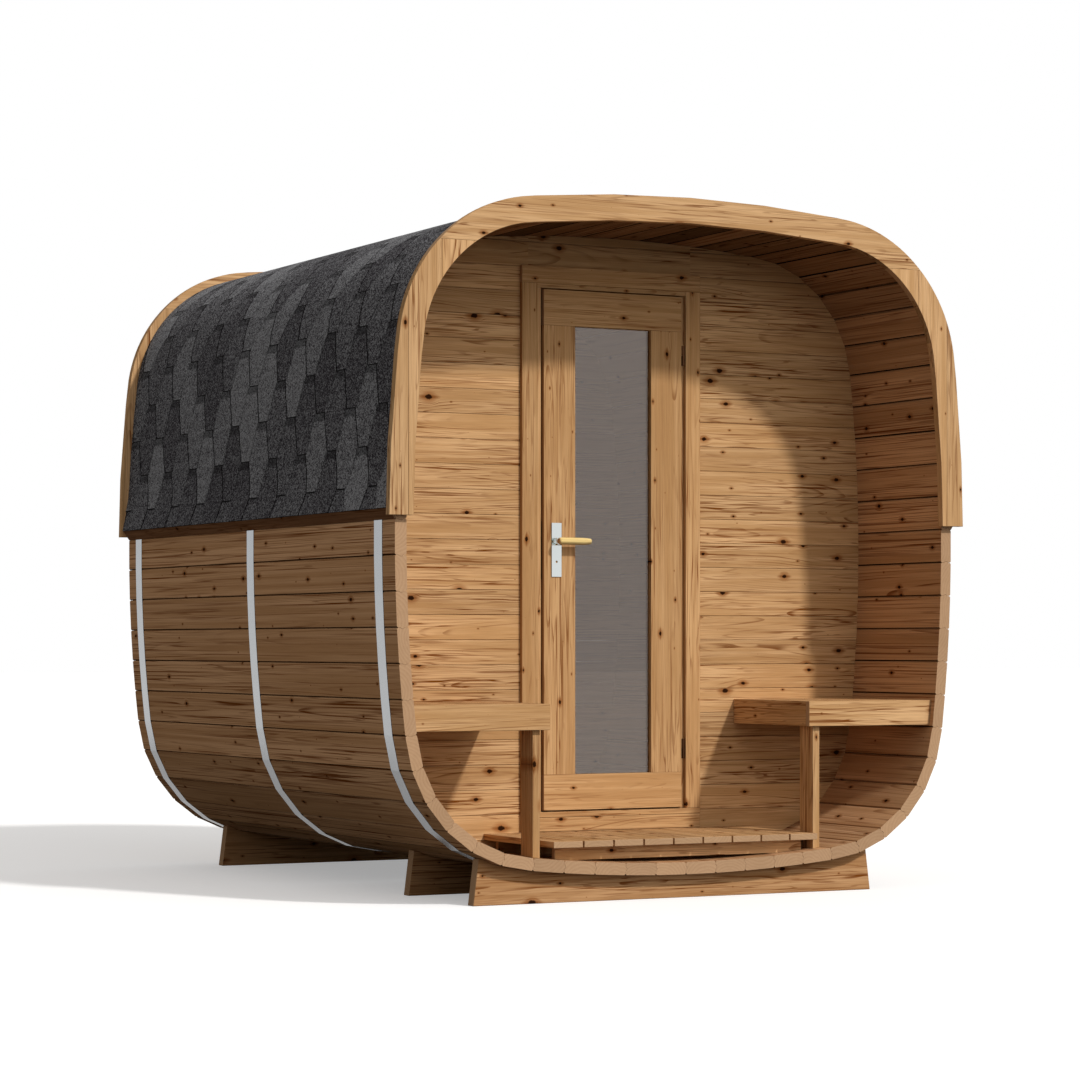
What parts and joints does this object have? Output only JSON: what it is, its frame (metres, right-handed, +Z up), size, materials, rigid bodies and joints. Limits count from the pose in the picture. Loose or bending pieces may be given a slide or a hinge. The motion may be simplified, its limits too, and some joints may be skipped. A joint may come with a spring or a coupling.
{
  "type": "cube sauna",
  "caption": "Rounded-square garden sauna of long wooden staves with shingled roof, open porch with benches, glazed hinged door and lever handle, on timber cradles.",
  "frame": {"origin": "on the ground, under the middle of the building", "axes": "+X to the right across the front, +Y from the porch to the back, +Z up"},
  "size_m": [2.2664, 2.496, 2.392],
  "materials": {
    "stave_wood": "oiled softwood, planed",
    "board_wood": "oiled softwood, planed",
    "trim_wood": "oiled softwood, planed",
    "door_wood": "oiled softwood, sanded",
    "grip_wood": "varnished hardwood",
    "shingle": "mineral granules on bitumen sheet",
    "band_steel": "bright rolled strip",
    "handle_steel": "polished",
    "hinge_steel": "zinc plated",
    "glass": "clear, sealed unit"
  },
  "bodies": {
    "building": {"floor_staves": "stave_wood", "left_lower_corner_staves": "stave_wood", "right_lower_corner_staves": "stave_wood", "left_wall_staves": "stave_wood", "right_wall_staves": "stave_wood", "left_upper_corner_staves": "stave_wood", "right_upper_corner_staves": "stave_wood", "ceiling_staves": "stave_wood", "shingle_roof": "shingle", "left_eave_board": "trim_wood", "right_eave_board": "trim_wood", "front_fascia_left": "trim_wood", "front_fascia_right": "trim_wood", "front_fascia_top": "trim_wood", "rear_fascia_left": "trim_wood", "rear_fascia_right": "trim_wood", "rear_fascia_top": "trim_wood", "front_wall_left": "board_wood", "front_wall_right": "board_wood", "front_wall_over_door": "board_wood", "front_wall_under_door": "board_wood", "rear_wall": "board_wood", "left_jamb": "door_wood", "right_jamb": "door_wood", "door_head": "door_wood", "door_sill": "door_wood", "door_casing": "door_wood", "front_band": "band_steel", "middle_band": "band_steel", "rear_band": "band_steel", "front_cradle": "stave_wood", "middle_cradle": "stave_wood", "rear_cradle": "stave_wood", "left_bench": "board_wood", "right_bench": "board_wood", "left_bench_post": "board_wood", "right_bench_post": "board_wood", "porch_deck": "board_wood", "room_floor": "board_wood", "upper_bench": "board_wood", "lower_bench": "board_wood", "frame_hinges": "hinge_steel"},
    "door": {"door_leaf": "door_wood", "door_glass": "glass", "handle_plates": "handle_steel", "lock_plate": "handle_steel", "leaf_hinges": "hinge_steel"},
    "lever": {"lever_spindle": "handle_steel", "lever_grips": "grip_wood"}
  },
  "joints": [
    {"name": "door_hinge", "type": "hinge", "parent": "building", "child": "door", "pos_m": [0.2915, -0.708, 1.2], "axis": [0, 0, 1], "range_deg": [0, 100]},
    {"name": "lever_turn", "type": "hinge", "parent": "door", "child": "lever", "pos_m": [-0.2315, -0.693, 1.232], "axis": [0, 1, 0], "range_deg": [0, 40], "stiffness_Nm_per_rad": 0.8, "springref_deg": -20.05}
  ]
}
